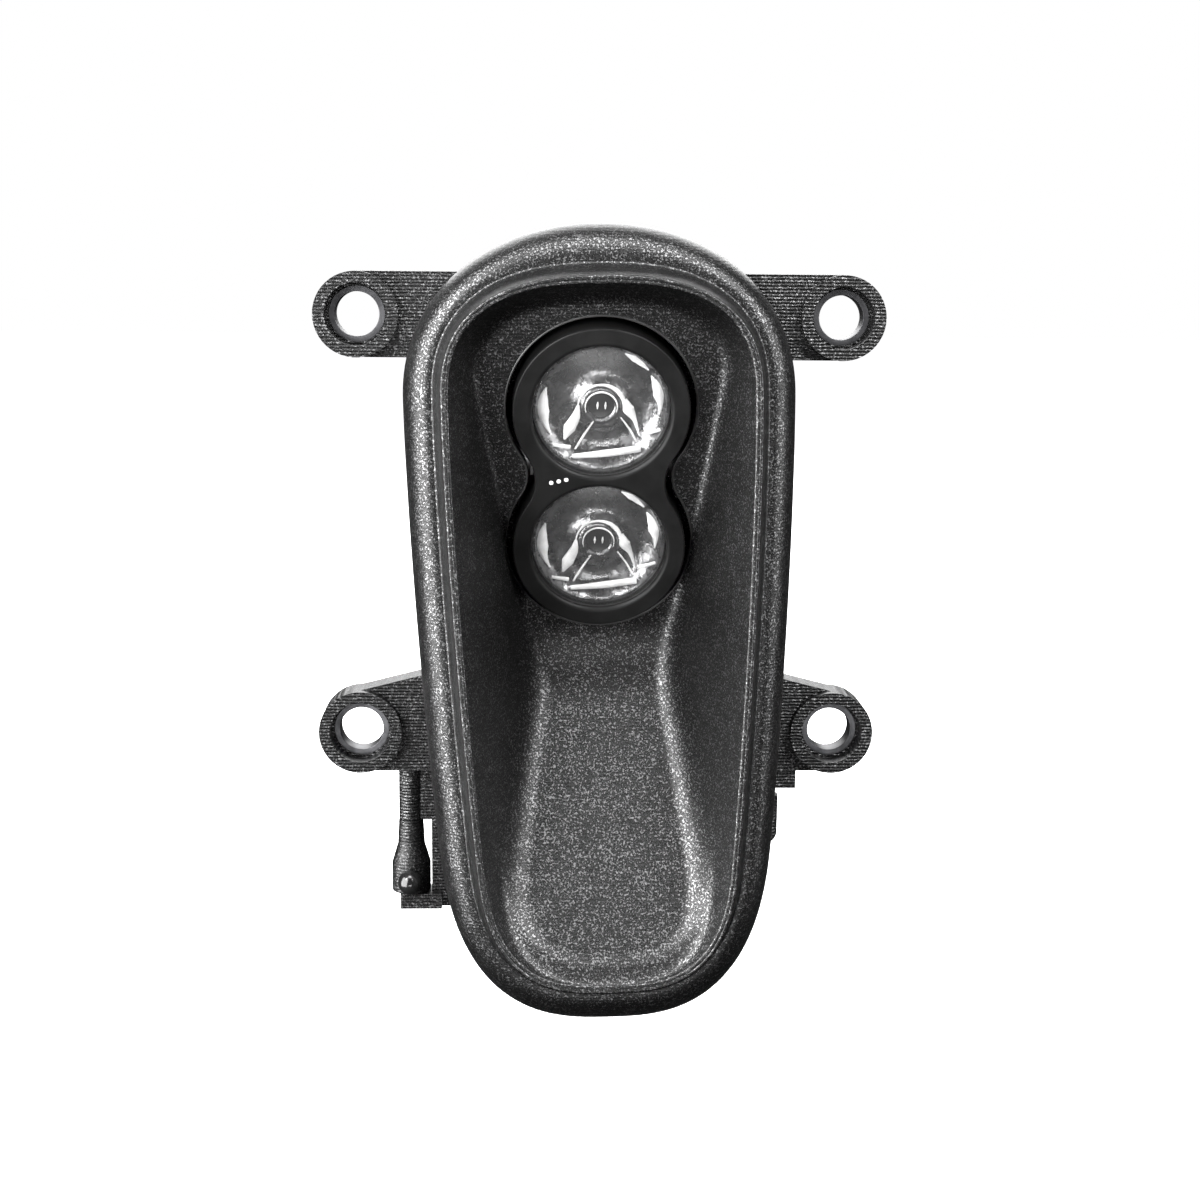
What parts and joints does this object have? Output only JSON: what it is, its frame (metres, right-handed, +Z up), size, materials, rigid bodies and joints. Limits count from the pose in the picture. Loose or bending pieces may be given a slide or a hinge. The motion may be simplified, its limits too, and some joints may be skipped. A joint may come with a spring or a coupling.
{
  "type": "pedestrian signal lamp",
  "caption": "Compact pedestrian signal lamp: a pod with stacked clear optics, aimable on a pivot, recessed in a scoop-shaped shade with four fixing ears.",
  "frame": {"origin": "centre of the four ear holes, on the ears' rear mounting face", "axes": "+Z up along the lamp, -Y out of the front towards the pedestrian, +X to the right as seen from the front"},
  "size_m": [0.0846, 0.0525, 0.1205],
  "materials": {
    "housing_nylon": "powder-printed nylon, dyed black, fine grain",
    "duct_nylon": "printed nylon, dyed black, fine layer lines",
    "seal_rubber": "matt",
    "plug_rubber": "glossy",
    "screw_steel": "blackened",
    "insert_brass": "plain",
    "sleeve_steel": "blackened, turned",
    "vent_plastic": "satin",
    "gland_plastic": "satin",
    "bezel_black": "satin",
    "optic_clear": "clear, polished",
    "holder_white": "white reflector",
    "wait_led": "unlit red emitter",
    "walk_led": "unlit green emitter",
    "led_board": "white solder mask",
    "thermal_pad": "soft pad",
    "pod_aluminium": "cast, bead blasted",
    "washer_plastic": "natural acetal",
    "cradle_steel": "pressed strip",
    "driver_plastic": "moulded",
    "circuit_board": "green solder mask",
    "capacitor": "sleeved can",
    "inductor": "ferrite",
    "chip_black": "moulded",
    "terminal_green": "moulded",
    "lead_jacket": "matt jacket"
  },
  "bodies": {
    "housing": {"scoop_housing": "housing_nylon", "rear_housing": "housing_nylon", "housing_gasket": "seal_rubber", "housing_screws": "screw_steel", "housing_inserts": "insert_brass", "ear_sleeves": "sleeve_steel", "duct_sleeve": "duct_nylon", "duct_plug": "plug_rubber", "rear_cover": "housing_nylon", "cover_gasket": "seal_rubber", "cover_screws": "screw_steel", "vent_plug": "vent_plastic", "gland_body": "gland_plastic", "gland_seal": "seal_rubber", "gland_cap": "gland_plastic", "gland_nut": "gland_plastic", "pod_cradle": "cradle_steel", "cradle_screws": "screw_steel", "driver_case": "driver_plastic", "driver_lid": "driver_plastic", "driver_screws": "screw_steel", "driver_board": "circuit_board", "driver_capacitors": "capacitor", "driver_inductor": "inductor", "driver_chips": "chip_black", "terminal_block": "terminal_green", "pod_lead": "lead_jacket"},
    "lamp_pod": {"optic_bezel": "bezel_black", "upper_lens": "optic_clear", "lower_lens": "optic_clear", "lens_seals": "seal_rubber", "lens_holders": "holder_white", "wait_led": "wait_led", "walk_led": "walk_led", "led_board": "led_board", "thermal_pad": "thermal_pad", "pod_seal": "seal_rubber", "pod_body": "pod_aluminium", "pod_screws": "screw_steel", "pod_grommet": "seal_rubber", "pivot_washers": "washer_plastic", "pivot_screws": "screw_steel"}
  },
  "joints": [
    {"name": "pod_aim", "type": "hinge", "parent": "housing", "child": "lamp_pod", "pos_m": [0, -0.00151, 0.01067], "axis": [1, 0, 0], "range_deg": [-4, 4]}
  ]
}
